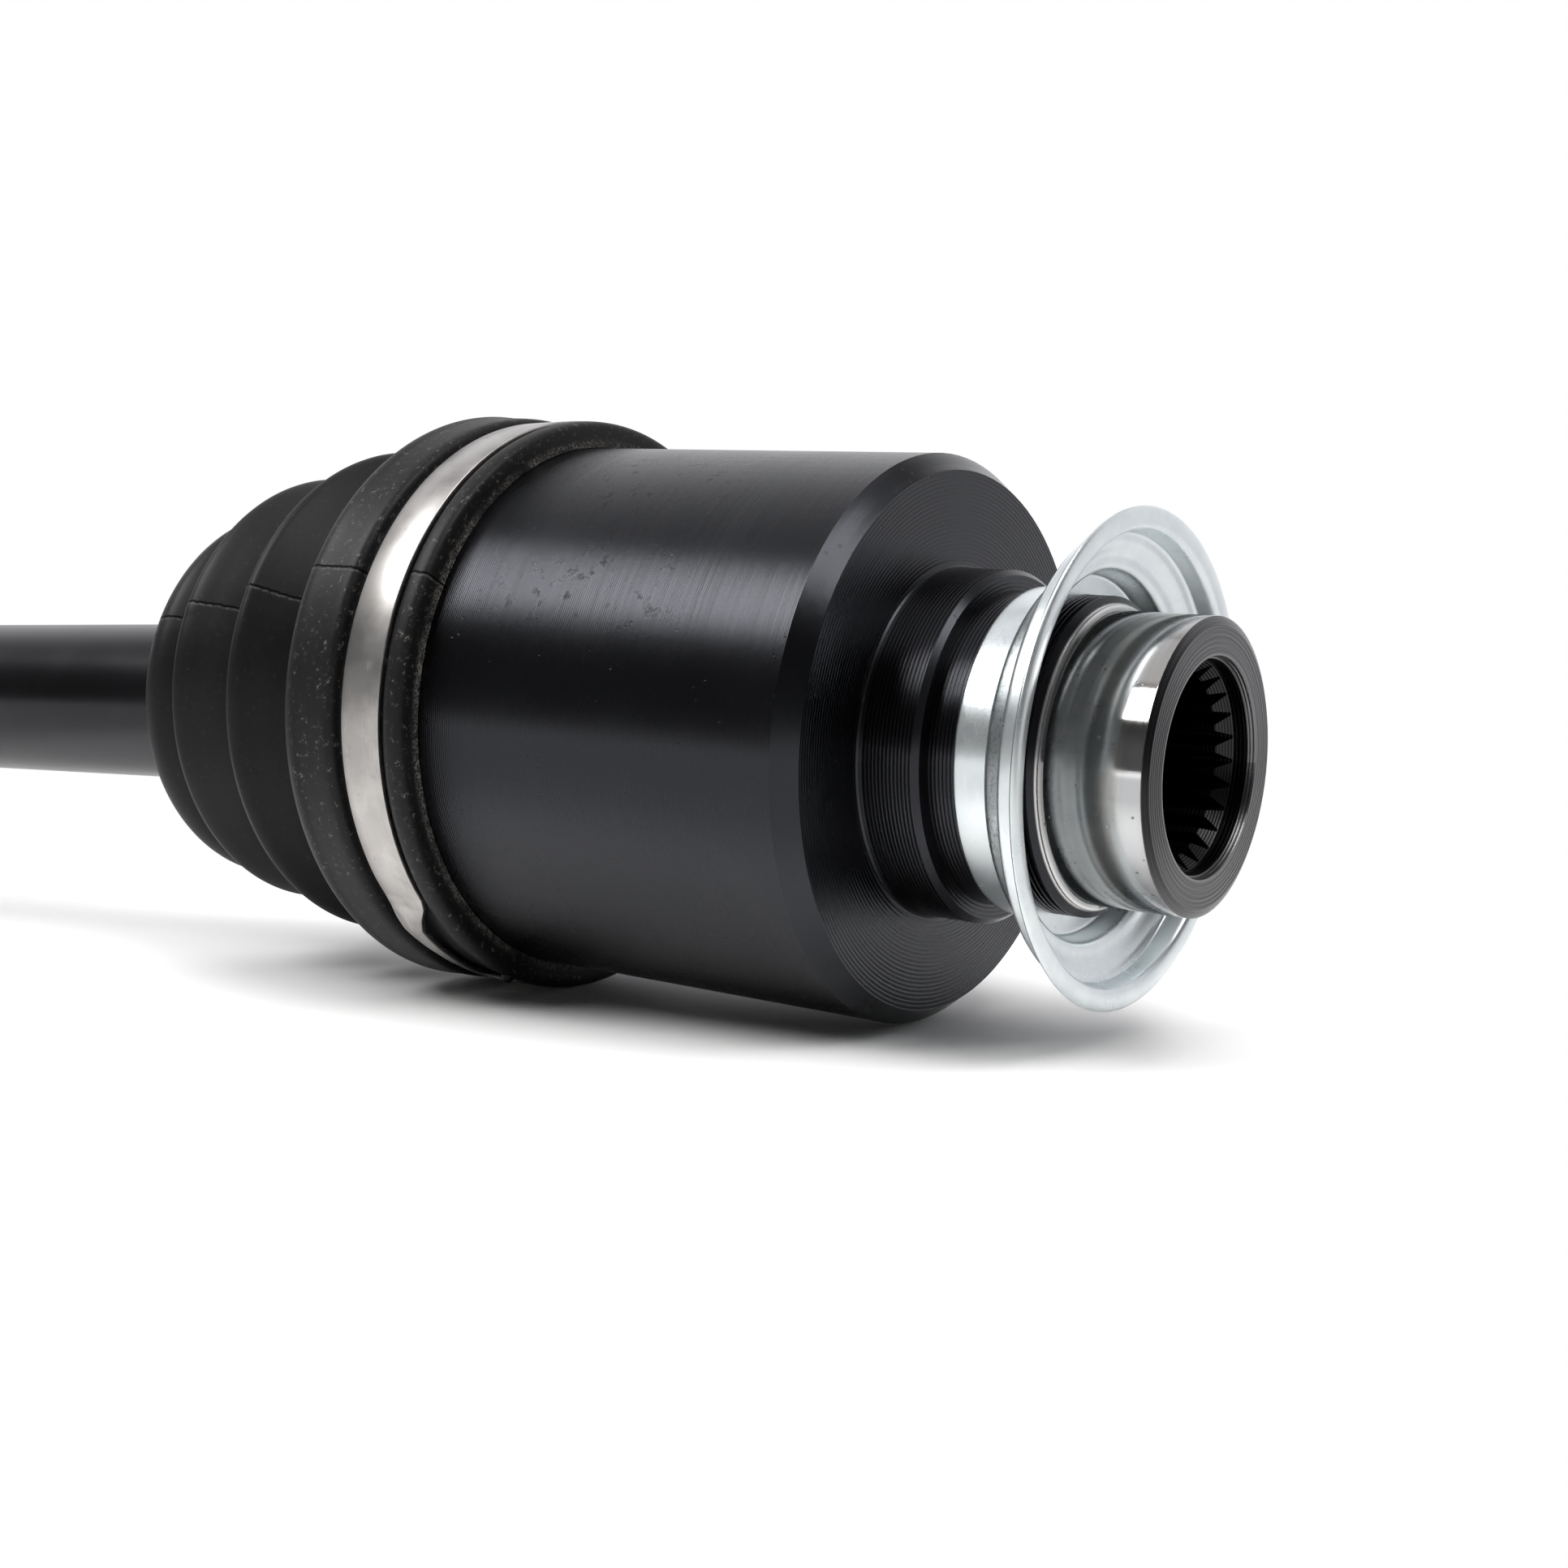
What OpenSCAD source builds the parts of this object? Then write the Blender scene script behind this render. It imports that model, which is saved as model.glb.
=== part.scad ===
// CV axle shaft: tripod joint inboard, ball joint outboard, a bar between them. Millimetres.
// Frame: origin at the centre of the outboard hub shoulder, +X inboard along the bar, +Z up.
// The inboard housing rests tilted about its joint centre, its stub end lower.

/* [Layout] */
// Distance between the two joint centres
joint_span = 392; // [320:1:600]
// Rest angle between the bar and the inboard housing, degrees
rest_bend = 3.3; // [0:0.1:6]
// Radius of the bar
bar_r = 15.8; // [14.5:0.1:16]

/* [Inboard housing] */
// Outer radius of the housing
housing_r = 45.6; // [45:0.1:48]
// Front face of the housing, from the joint centre
front_s = 60.1; // [60:0.1:61]
// Radius of the boss on the front face
boss_r = 27.8; // [27:0.1:29]
// Radius of the neck behind the dust shield
neck_r = 24.6; // [24:0.1:25]
// Radius of the ground journal
journal_r = 22.5; // [22:0.1:23]
// Teeth of the internal spline
bore_teeth = 26; // [24:1:28]
// Tip radius of the internal spline
bore_tip_r = 14.2; // [14:0.1:14.5]
// Root radius of the internal spline
bore_root_r = 15.9; // [15.5:0.1:16]

/* [Tripod] */
// Radius of the roller centres
arm_r = 27.5; // [27:0.1:28]
// Radius of the rollers' ball surface
roller_r = 15; // [14.5:0.1:15]
// Radius of the tracks in the housing
track_r = 16.9; // [16.8:0.1:17]
// Radius of the three arms
trunnion_r = 9; // [8.5:0.1:9]

/* [Ball joint] */
// Radius of the ball centres' circle
ball_pcr = 30.6; // [30:0.1:31]
// Radius of the balls
ball_r = 8.4; // [8:0.1:8.4]
// Radius of the ball grooves
groove_r = 8.5; // [8.5:0.1:8.8]
// Outer radius of the bell
bell_r = 49.2; // [48:0.1:50]
// Inner radius of the bell
bell_in_r = 34.3; // [34.3:0.1:35]
// Outer radius of the cage
cage_out_r = 34; // [33.5:0.1:34]
// Outer radius of the inner race
race_r = 27; // [26.5:0.1:27]
// Radius of the stub's plain journal
stub_r = 16; // [15.5:0.1:17]
// Radius of the stub's thread
thread_r = 12; // [11:0.5:12]

/* [Rubber and bands] */
// Thickness of the inboard clamp band
band_t = 0.75; // [0.5:0.05:1]
// Wire radius of the spring
wire_r = 0.9; // [0.6:0.1:1]

/* [Hidden] */
$fn = 64;
x_out = 44;
x_in = x_out + joint_span;
arms = [90, 210, 330];
balls_at = [0, 60, 120, 180, 240, 300];
steel = "#26282e";
black = "#17181a";
zinc = "#b9bec6";
bright = "#c9ccd1";
inox = "#b4b6b8";

// A point on a circle in the [radius, station] plane, angle from the axis
function arc(r, a, s = 0) = [r * sin(a), s + r * cos(a)];
function unit(v) = v / norm(v);
function xy(p) = [p[0], p[1]];
function corner(a, b, c, r, n) =
    let (u = unit(a - b), v = unit(c - b), h = acos(u * v) / 2)
    let (d = r / tan(h), m = b + unit(u + v) * r / sin(h), s = b + u * d - m, e = b + v * d - m)
    let (t = atan2(s[1], s[0]), w = atan2(e[1], e[0]) - t)
    let (k = w > 180 ? w - 360 : w < -180 ? w + 360 : w)
    [for (i = [0 : n]) m + r * [cos(t + k * i / n), sin(t + k * i / n)]];
// A closed outline whose third values are corner radii
function rounded(p, n = 4) = [for (i = [0 : len(p) - 1])
    let (a = xy(p[(i + len(p) - 1) % len(p)]), b = xy(p[i]), c = xy(p[(i + 1) % len(p)]))
    each (len(p[i]) > 2 ? corner(a, b, c, p[i][2], n) : [b])];
// Outline of a splined bar with n teeth
function spline_path(n, low, high, wide, tip) = [for (i = [0 : n - 1])
    let (a = 360 * i / n)
    each [low * [cos(a - wide), sin(a - wide)], high * [cos(a - tip), sin(a - tip)],
        high * [cos(a + tip), sin(a + tip)], low * [cos(a + wide), sin(a + wide)]]];

module along_x() rotate([90, 0, 90]) children();
// Turned piece from [radius, station] points
module rev(p) along_x() rotate_extrude() polygon(p);
// Straight piece along X between two stations
module bar(s0, s1) translate([s0, 0, 0]) along_x() linear_extrude(s1 - s0) children();
module rod(r, s0, s1) bar(s0, s1) circle(r);
module inboard(turn = rest_bend) translate([x_in, 0, 0]) rotate([0, turn, 0]) children();
module at_in() translate([x_in, 0, 0]) children();
module at_out() translate([x_out, 0, 0]) children();
module arm(i) rotate([arms[i], 0, 0]) rotate([-90, 0, 0]) children();
module split_ring(r0, r1, s0, s1, at) difference() {
    rod(r1, s0, s1);
    rod(r0, s0 - 1, s1 + 1);
    rotate([at, 0, 0]) translate([s0 - 1, 0, -1]) cube([s1 - s0 + 2, r1 + 2, 2]);
}
// Part of a ring between two angles from +Y
module sector(r0, r1, s0, s1, a0, a1) bar(s0, s1) intersection() {
    difference() {
        circle(r1);
        circle(r0);
    }
    polygon([[0, 0], 2 * r1 * [cos(a0), sin(a0)], 2 * r1 * [cos((a0 + a1) / 2), sin((a0 + a1) / 2)],
        2 * r1 * [cos(a1), sin(a1)]]);
}
module torus(major, minor) rotate_extrude() translate([major, 0]) circle(minor);
module ball_x(r) rotate([0, 90, 0]) sphere(r);

module housing_solid() rev(concat(
    [[0, -27.5], [housing_r - 0.6, -27.5], [housing_r, -26.9], [housing_r, front_s - 3.4],
        [housing_r - 2.6, front_s], [boss_r + 0.9, front_s], [boss_r + 0.4, front_s + 0.12],
        [boss_r + 0.12, front_s + 0.4], [boss_r, front_s + 0.9], [boss_r, 69.6],
        [boss_r - 0.8, 70.5], [neck_r, 70.5]],
    [for (i = [0 : 3]) each [[neck_r, 83.5 + 0.8 * i], [neck_r - 0.4, 83.65 + 0.8 * i],
        [neck_r - 0.4, 83.95 + 0.8 * i], [neck_r, 84.1 + 0.8 * i]]],
    [[neck_r, 87], [journal_r + 0.8, 87.9], [journal_r + 0.8, 88.2], [journal_r, 88.6],
        [journal_r, 104], [journal_r - 1.3, 104.6], [0, 104.6]]));

module inner_housing() color(steel) inboard() difference() {
    housing_solid();
    bar(-28, 42) intersection() {
        circle(39.5);
        union() {
            circle(23.4);
            for (a = arms) rotate(a) translate([arm_r, 0]) circle(track_r);
        }
    }
    rev([[0, -28], [30.18, -28], [22.3, -6], [0, -6]]);
    rod(15, 41, 56);
    rod(8, 55, 59);
    rod(13.6, 58, 61.01);
    rod(16.5, 61, 66);
    bar(65.5, 101.5) polygon(spline_path(bore_teeth, bore_tip_r, bore_root_r, 4.84, 0.9));
    rev([[0, 98.9], [bore_tip_r - 0.08, 98.9], [16.05, 101.3], [0, 101.3]]);
    rev([[0, 101.2], [16.2, 101.2], [16.2, 103.35], [16.4, 103.4], [16.7, 104.6], [16.7, 105],
        [0, 105]]);
}

module dust_shield() color(zinc) inboard() rev(rounded([
    [24.62, 75.6], [25.5, 75.6, 0.3], [25.5, 81.8, 0.3], [28.6, 81.8, 1.5], [29.35, 86.2, 0.6],
    [34.9, 87.4, 1.9], [35.67, 91.6, 0.3], [38.26, 91.6, 0.4], [38.26, 92.55, 0.4], [34.8, 92.55, 1.1],
    [34.4, 88.5, 1], [28.6, 87.1, 1.5], [27.9, 82.7, 0.7], [24.62, 82.7, 0.9]], 5));

module grease_plug() color(zinc) inboard() rev([[0, 58], [13.58, 58], [13.58, 60.9], [12.6, 60.9],
    [12.3, 59.2], [0, 59.2]]);

module boot_lip() rev([[46.2, -12.3], [49.5, -12.3], [50.05, -12.9], [50.2, -13.9], [50.2, -15.2],
    [49.3, -16.4], [49.3, -26.3], [48.3, -26.8], [48.4, -27.2], [50.2, -27.7], [50.7, -28.4],
    [50.7, -35], [51, -36], [50.8, -37.2], [49.6, -38.6], [46.5, -41], [42, -44], [39, -46],
    [37.4, -47.4], [37, -48.6], [37.2, -50], [35, -50.2], [34.8, -48.4], [35.4, -46.4],
    [37.2, -44.6], [40.3, -42.4], [44.8, -39.4], [47.6, -37], [48.4, -35.6], [48.3, -30],
    [47.4, -28.6], [45.65, -27.7], [45.65, -12.3]]);
module boot_second() rev([[37.3, -46.9], [37, -48], [37.1, -49.2], [38.2, -50.8], [40, -53.6],
    [42.4, -56.8], [44.2, -58.6], [44.85, -59.6], [44.7, -60.8], [43.4, -61.9], [39, -63.2],
    [34.4, -64.2], [32.7, -64.9], [32.5, -65.8], [30.4, -65.9], [30.7, -64.4], [32.6, -62.8],
    [37.4, -61.4], [41.6, -60.4], [42.4, -59.6], [41.9, -58.6], [40.3, -57], [37.9, -54],
    [35.4, -50.6], [34.9, -48.2], [35.1, -46.6]]);
module boot_third() rev([[32.7, -64.6], [32.5, -65.4], [33.6, -66.2], [36.2, -68.2], [38.4, -70.5],
    [40, -72.8], [41, -74.6], [41.3, -76], [41, -77.2], [39.8, -78.2], [35.5, -79.2],
    [31.5, -80.1], [30.2, -80.8], [30.1, -81.6], [28, -81.6], [28.3, -80], [29.8, -78.6],
    [34.2, -77.4], [38.2, -76.6], [39, -75.8], [38.4, -74.4], [36.6, -71.8], [34.3, -69.3],
    [31.6, -67.1], [30.4, -65.6], [30.5, -64.4]]);
module boot_fourth() rev([[30.3, -80.2], [30.1, -81.2], [31.2, -82.2], [34.4, -84.5],
    [35.6, -86.3], [36.3, -88], [36.4, -89.8], [35.8, -91.8], [34.6, -93.4], [32.4, -94.9],
    [27.5, -96.2], [23, -96.9], [22.6, -94.8], [27, -94.1], [31.6, -92.8], [33.4, -91.2],
    [34.1, -89.6], [34, -88.2], [33.4, -86.8], [32, -85.2], [29.4, -83.3], [28.1, -81.8],
    [28.1, -80.2]]);
module boot_collar() rev([[27, -96.3], [22.5, -97], [20.2, -97.6], [19.5, -98.2], [19.5, -105.3],
    [20, -105.6], [19.7, -106.2], [15.85, -106.2], [15.85, -98.2], [17.6, -96.2], [21.5, -94.9],
    [26.5, -94.2]]);

// The boot bends with the joint: each rib turns a little further about the joint centre
module inner_boot() color(black) {
    inboard() boot_lip();
    inboard(rest_bend * 0.834) boot_second();
    inboard(rest_bend * 0.712) boot_third();
    inboard(rest_bend * 0.424) boot_fourth();
    at_in() boot_collar();
    inboard() sector(50, 51.3, -15.4, -13.2, 246.2, 247.8);
}

// Crimped band: its end narrows to a tongue over a thinner strip
module inner_big_clamp() color(inox) inboard() {
    difference() {
        rod(49.35 + band_t, -25.5, -16.8);
        rod(49.35, -26, -16);
        rotate([232, 0, 0]) translate([0, 44, 0]) rotate([-90, 0, 0]) linear_extrude(9)
            polygon([[-15, 11.6], [-16.8, 11.2], [-19, 9.6], [-20.3, 5], [-22.6, -9.4],
                [-26.5, -10], [-26.5, -16], [-15, -16]]);
    }
    sector(49.35, 49.62, -23.4, -19.2, 228, 256);
    sector(49.4, 50.5, -25.2, -23.6, 233, 236);
}

// Coil spring: closed end turns, open turns between them
function coil_s(u, n, l) = u < 1 ? 1.9 * u : u > n - 1 ? l - 1.9 * (n - u)
    : 1.9 + (l - 3.8) * (u - 1) / (n - 2);
module spring() color(bright) inboard() along_x() {
    n = 6.5;
    k = 130;
    m = 10;
    l = 26.3 - 2 * wire_r;
    p = [for (i = [0 : k], j = [0 : m - 1])
        let (r = 11 + wire_r * cos(360 * j / m), a = 360 * n * i / k)
        [r * cos(a), r * sin(a), 29.6 + wire_r + coil_s(n * i / k, n, l) + wire_r * sin(360 * j / m)]];
    f = concat([[for (j = [0 : m - 1]) j]], [[for (j = [m - 1 : -1 : 0]) k * m + j]],
        [for (i = [0 : k - 1], j = [0 : m - 1])
            [i * m + j, (i + 1) * m + j, (i + 1) * m + (j + 1) % m, i * m + (j + 1) % m]]);
    polyhedron(p, f, convexity = 10);
}

module spring_cup() color(bright) inboard() rev(concat(
    [for (a = [0 : 4 : 28]) arc(26.8, a)],
    [[13.2, 23.7], [13.2, 29.5], [9.6, 29.5], [9, 33], [0, 33]]));

module thrust_button() color(bright) inboard() rev(concat(
    [for (a = [0 : 3 : 12]) arc(26.5, a)], [for (a = [12 : -3 : 0]) arc(24.2, a)]));

module shaft_spline(s0, s1) bar(s0, s1) polygon(spline_path(24, 12.5, 13.5, 4.6, 2.4));
module hub_spline(s0, s1) bar(s0, s1) polygon(spline_path(24, 12.56, 13.58, 4.85, 2.65));
module ring_cut(r0, r1, s0, s1) difference() {
    rod(r1, s0, s1);
    rod(r0, s0 - 1, s1 + 1);
}

module shaft() color(steel) difference() {
    union() {
        rev([[0, 28], [11.6, 28], [12.5, 29], [12.5, 55.6], [14.2, 55.6], [14.2, 57], [13, 58.2],
            [13, 112], [bar_r, 117], [bar_r, x_in - 63], [12.5, x_in - 59], [12.5, x_in - 17.5],
            [14.6, x_in - 15.8], [14.6, x_in - 12.1], [12.5, x_in - 12.1], [12.5, x_in + 15.6],
            [11.5, x_in + 16.4], [11.5, x_in + 21.06], [0, x_in + 21.06]]);
        at_in() rev(concat([[0, 20.5]], [[11.5, 20.5]], [for (a = [28.65 : -4.775 : 0]) arc(24, a)]));
        shaft_spline(29, 55.8);
        shaft_spline(x_in - 12.2, x_in + 15.5);
    }
    ring_cut(11.8, 20, x_in + 12.08, x_in + 13.76);
    ring_cut(11.8, 20, 30.24, 31.92);
}

module spider() color(bright) at_in() difference() {
    union() {
        rev([[0, -12], [16.6, -12], [17.5, -11.1], [17.5, 11.1], [16.6, 12], [0, 12]]);
        for (i = [0 : 2]) arm(i) {
            cylinder(r = 11, h = 21.5);
            cylinder(r = trunnion_r, h = 35.6);
            translate([0, 0, 35.6]) cylinder(r1 = trunnion_r, r2 = trunnion_r - 0.6, h = 0.6);
        }
    }
    hub_spline(-13, 13);
    for (i = [0 : 2]) arm(i) translate([0, 0, 33.98]) difference() {
        cylinder(r = 12, h = 1.04);
        translate([0, 0, -1]) cylinder(r = 8.3, h = 3);
    }
}

module spider_circlip() color(bright) at_in() split_ring(11.84, 14.8, 12.12, 13.72, 30);
module race_circlip() color(bright) split_ring(11.84, 14.6, 30.28, 31.88, 30);

module roller(i) at_in() arm(i) difference() {
    intersection() {
        translate([0, 0, arm_r]) sphere(roller_r);
        translate([0, 0, arm_r - 6]) cylinder(r = 20, h = 12);
    }
    cylinder(r = 11.5, h = 50);
}
module roller_1() color(bright) roller(0);
module roller_2() color(bright) roller(1);
module roller_3() color(bright) roller(2);

module needles(i) at_in() arm(i) for (k = [0 : 23])
    rotate([0, 0, 15 * k]) translate([10.25, 0, 21.8]) cylinder(r = 1.22, h = 11.6);
module needles_1() color(bright) needles(0);
module needles_2() color(bright) needles(1);
module needles_3() color(bright) needles(2);

module roller_clips() color(bright) at_in() for (i = [0 : 2]) arm(i) translate([0, 0, 34]) difference() {
    cylinder(r = 11, h = 1);
    translate([0, 0, -1]) cylinder(r = 8.34, h = 3);
    translate([0, -0.8, -1]) cube([12, 1.6, 3]);
}

module inner_small_clamp() color(inox) at_in() {
    difference() {
        rod(20.2, -104.8, -98.8);
        rod(19.55, -106, -98);
    }
    sector(19.6, 20.9, -104.2, -99.4, 60, 84);
    sector(19.6, 21.6, -103.6, -100, 68, 76);
}

module outer_bell() color(steel) difference() {
    union() {
        rev([[0, -62], [thread_r - 1.4, -62], [thread_r, -60.6], [thread_r, -42], [11, -41.4],
            [11, -40], [13.9, -40], [13.9, -8], [stub_r - 0.4, -8], [stub_r, -7.6], [stub_r, 0],
            [30, 0], [32.6, 0.5], [39.5, 4], [45, 8.2], [48.2, 11.8], [bell_r, 15],
            [bell_r, 45.4], [bell_r - 0.6, 46], [45.5, 46], [45.5, 57.2], [44.7, 58], [0, 58]]);
        bar(-39.6, -7.9) polygon(spline_path(28, 14, 15, 4.1, 2.2));
    }
    at_out() ball_x(bell_in_r);
    rev([[0, 53], [31, 53], [35, 58], [35, 59], [0, 59]]);
    at_out() intersection() {
        torus(ball_pcr, groove_r);
        translate([-27, -60, -60]) cube([120, 120, 120]);
    }
    for (k = [-1, 1]) at_out() translate([0, 0, k * ball_pcr * sin(60)])
        torus(ball_pcr * cos(60), groove_r);
    rod(3, -63, -52);
    rev([[0, -63], [5.2, -63], [5.2, -62], [0, -57.5]]);
}

module inner_race() color(bright) at_out() difference() {
    intersection() {
        ball_x(race_r);
        rod(40, -11.5, 11.5);
    }
    for (k = [-1, 1]) translate([0, k * ball_pcr * cos(60), 0]) rotate([90, 0, 0])
        torus(ball_pcr * sin(60), groove_r);
    for (k = [-1, 1]) translate([0, k * ball_pcr, 0]) sphere(groove_r);
    hub_spline(-13, 13);
}

module cage() color(bright) at_out() difference() {
    intersection() {
        ball_x(cage_out_r);
        rod(40, -12, 12);
    }
    ball_x(race_r + 0.25);
    for (a = balls_at) rotate([a, 0, 0]) {
        translate([0, 20, 0]) rotate([-90, 0, 0]) linear_extrude(20) polygon([[8.45, -7.4],
            [8.45, 7.4], [6.45, 9.4], [-6.45, 9.4], [-8.45, 7.4], [-8.45, -7.4], [-6.45, -9.4],
            [6.45, -9.4]]);
    }
}

module balls() color(bright) at_out() for (a = balls_at)
    rotate([a, 0, 0]) translate([0, ball_pcr, 0]) sphere(ball_r);

module outer_boot() color(black) rev([[45.55, 46.6], [48.5, 46.6], [48.9, 47.1], [48.9, 48.2],
    [48, 49], [48, 56.4], [47.2, 57], [47.4, 57.4], [48.3, 58], [48.6, 58.8], [48.6, 64.5],
    [47.8, 66], [44.5, 68.4], [39, 71], [35.6, 72.6], [34.8, 74], [35.8, 75.4], [39.4, 77],
    [42.4, 78.8], [43.2, 80.6], [42.4, 82.4], [38.6, 84.2], [32.4, 86.2], [30.2, 87.6],
    [30.6, 89], [34, 90.6], [37.4, 92.2], [38.2, 93.8], [37.4, 95.4], [33.4, 97], [27.6, 98.8],
    [26, 100.2], [26.4, 101.6], [30, 103.2], [32.8, 104.6], [33.4, 106.2], [32.6, 107.6],
    [28.8, 109.2], [23.8, 111], [22.6, 112.4], [23, 113.6], [26, 115], [28, 116.4], [28.5, 118],
    [27.8, 119.4], [24, 121], [20.6, 122.4], [19.4, 123.4], [19, 124.2], [19, 131.6],
    [19.6, 132], [19.4, 132.8], [15.85, 132.8], [15.85, 123.6], [17, 121.4], [21, 119.8],
    [25, 118.6], [26.2, 117.8], [25.4, 117], [22, 115.4], [20.6, 113.6], [20.4, 111.4],
    [22, 109.4], [28, 107.4], [31, 106.2], [30.2, 105.4], [26.2, 103.8], [24, 101.8],
    [23.8, 99.6], [25.6, 97.4], [32.2, 95], [35.6, 93.8], [34.8, 93], [30.6, 91.2], [28.2, 89.2],
    [28.2, 86.8], [30.8, 84.6], [37.2, 82.2], [40.6, 80.6], [39.6, 79.6], [36.4, 78],
    [33.4, 75.8], [32.6, 73.4], [34, 71.2], [38, 68.8], [43.6, 66.2], [46, 64.4], [46.2, 60],
    [45.55, 58.2]]);

module outer_big_clamp() color(inox) {
    difference() {
        rod(48.75, 49.3, 56.1);
        rod(48.05, 49, 57);
    }
    sector(48.1, 49.7, 50, 55.4, 40, 56);
    sector(48.1, 50.4, 50.6, 54.8, 46, 50);
}

module outer_small_clamp() color(inox) {
    difference() {
        rod(19.7, 124.8, 131);
        rod(19.05, 124, 132);
    }
    sector(19.1, 20.4, 125.4, 130.4, 60, 84);
    sector(19.1, 21.1, 126, 129.8, 68, 76);
}

inner_housing();
dust_shield();
grease_plug();
inner_boot();
inner_big_clamp();
spring();
spring_cup();
thrust_button();
shaft();
spider();
spider_circlip();
roller_1();
roller_2();
roller_3();
needles_1();
needles_2();
needles_3();
roller_clips();
inner_small_clamp();
outer_bell();
inner_race();
race_circlip();
cage();
balls();
outer_boot();
outer_big_clamp();
outer_small_clamp();
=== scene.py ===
# CV axle shaft: boots, bands, shield and spring as fine meshes, then materials, floor, light and camera.
# Scene units are metres in the part's own frame. Paths are millimetres: station along an axis, then radius.
import math

import bmesh
import bpy
import numpy as np
from mathutils import Matrix, Vector


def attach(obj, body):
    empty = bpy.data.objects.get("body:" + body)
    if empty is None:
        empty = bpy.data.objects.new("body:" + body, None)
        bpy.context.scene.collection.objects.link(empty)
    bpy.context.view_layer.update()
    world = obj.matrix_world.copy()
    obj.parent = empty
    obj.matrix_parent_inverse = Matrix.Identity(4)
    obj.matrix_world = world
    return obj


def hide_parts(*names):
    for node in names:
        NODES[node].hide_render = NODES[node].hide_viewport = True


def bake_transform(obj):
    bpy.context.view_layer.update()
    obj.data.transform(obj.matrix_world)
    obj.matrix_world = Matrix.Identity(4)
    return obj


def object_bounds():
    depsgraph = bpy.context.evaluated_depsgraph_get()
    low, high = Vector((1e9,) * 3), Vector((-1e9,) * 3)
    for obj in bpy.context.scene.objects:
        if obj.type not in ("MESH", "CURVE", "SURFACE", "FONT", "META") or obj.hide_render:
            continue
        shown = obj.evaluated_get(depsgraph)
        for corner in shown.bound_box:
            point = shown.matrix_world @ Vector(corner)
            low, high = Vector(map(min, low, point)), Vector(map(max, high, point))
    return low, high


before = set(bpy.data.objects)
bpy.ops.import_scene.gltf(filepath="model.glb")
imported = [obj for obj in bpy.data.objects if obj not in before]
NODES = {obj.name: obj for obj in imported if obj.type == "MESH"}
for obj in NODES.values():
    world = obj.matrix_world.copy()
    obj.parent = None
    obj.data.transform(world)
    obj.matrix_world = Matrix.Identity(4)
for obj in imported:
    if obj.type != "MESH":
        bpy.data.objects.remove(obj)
before = [list(v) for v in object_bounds()]
MM = 0.001
FULL = 2 * math.pi
BEND = math.radians(3.3)  # the inboard joint's angle at rest
J = Vector((0.436, 0.0, 0.0))  # centre of the inboard joint
OUT = Vector((0.044, 0.0, 0.0))  # centre of the outboard joint
BAR_AXIS = Vector((1, 0, 0))
HOUSING_AXIS = Vector((math.cos(BEND), 0.0, -math.sin(BEND)))
MOULD_LINE = 2.665  # the moulding line's angle about the axis
DRIFT, DRIFT_FROM = 0.0000255, 20  # the moulding line's lean, in radians per square millimetre


# Node graph helpers
class Graph:
    def __init__(self, tree):
        self.tree = tree

    def put(self, node, key, value):
        socket = node.inputs[key]
        if isinstance(value, bpy.types.NodeSocket):
            self.tree.links.new(value, socket)
        else:
            socket.default_value = value

    def add(self, kind, inputs=None, out=0, **props):
        node = self.tree.nodes.new("ShaderNode" + kind)
        for key, value in props.items():
            setattr(node, key, value)
        for key, value in (inputs or {}).items():
            self.put(node, key, value)
        return node.outputs[out]

    def math(self, op, a, b=None):
        inputs = {0: a}
        if b is not None:
            inputs[1] = b
        return self.add("Math", inputs, operation=op)

    def vec(self, op, a, b=None, out=0):
        inputs = {0: a}
        if b is not None:
            inputs[1] = b
        return self.add("VectorMath", inputs, out=out, operation=op)

    def ramp(self, x, lo, hi, a=0.0, b=1.0):
        return self.add("MapRange", {0: x, 1: lo, 2: hi, 3: a, 4: b}, interpolation_type="SMOOTHSTEP")

    def band(self, x, lo, hi, soft):
        return self.math("MULTIPLY", self.ramp(x, lo - soft, lo + soft), self.ramp(x, hi - soft, hi + soft, 1.0, 0.0))

    def mix(self, f, a, b):
        node = self.tree.nodes.new("ShaderNodeMix")
        node.data_type = "RGBA"
        self.put(node, 0, f)
        for key, value in ((6, a), (7, b)):
            if isinstance(value, tuple) and len(value) == 3:
                value = (*value, 1.0)
            self.put(node, key, value)
        return node.outputs[2]

    def blend(self, f, a, b):
        node = self.tree.nodes.new("ShaderNodeMix")
        node.data_type = "FLOAT"
        self.put(node, 0, f)
        self.put(node, 2, a)
        self.put(node, 3, b)
        return node.outputs[0]

    def noise(self, vector, scale, detail=3.0, rough=0.5):
        return self.add("TexNoise", {"Vector": vector, "Scale": scale, "Detail": detail, "Roughness": rough})

    def join(self, x, y, z):
        return self.add("CombineXYZ", {0: x, 1: y, 2: z})

    def split(self, vector):
        return self.add("SeparateXYZ", {0: vector}).node.outputs

    def length(self, x, y):
        return self.math("SQRT", self.sum(self.times(x, x), self.times(y, y)))

    def times(self, *values):
        out = values[0]
        for value in values[1:]:
            out = self.math("MULTIPLY", out, value)
        return out

    def sum(self, *values):
        out = values[0]
        for value in values[1:]:
            out = self.math("ADD", out, value)
        return out


def material(name):
    mat = bpy.data.materials.new(name)
    mat.use_nodes = True
    tree = mat.node_tree
    tree.nodes.clear()
    g = Graph(tree)
    out = tree.nodes.new("ShaderNodeOutputMaterial")
    bsdf = tree.nodes.new("ShaderNodeBsdfPrincipled")
    tree.links.new(bsdf.outputs[0], out.inputs[0])
    return mat, g, bsdf


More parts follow.
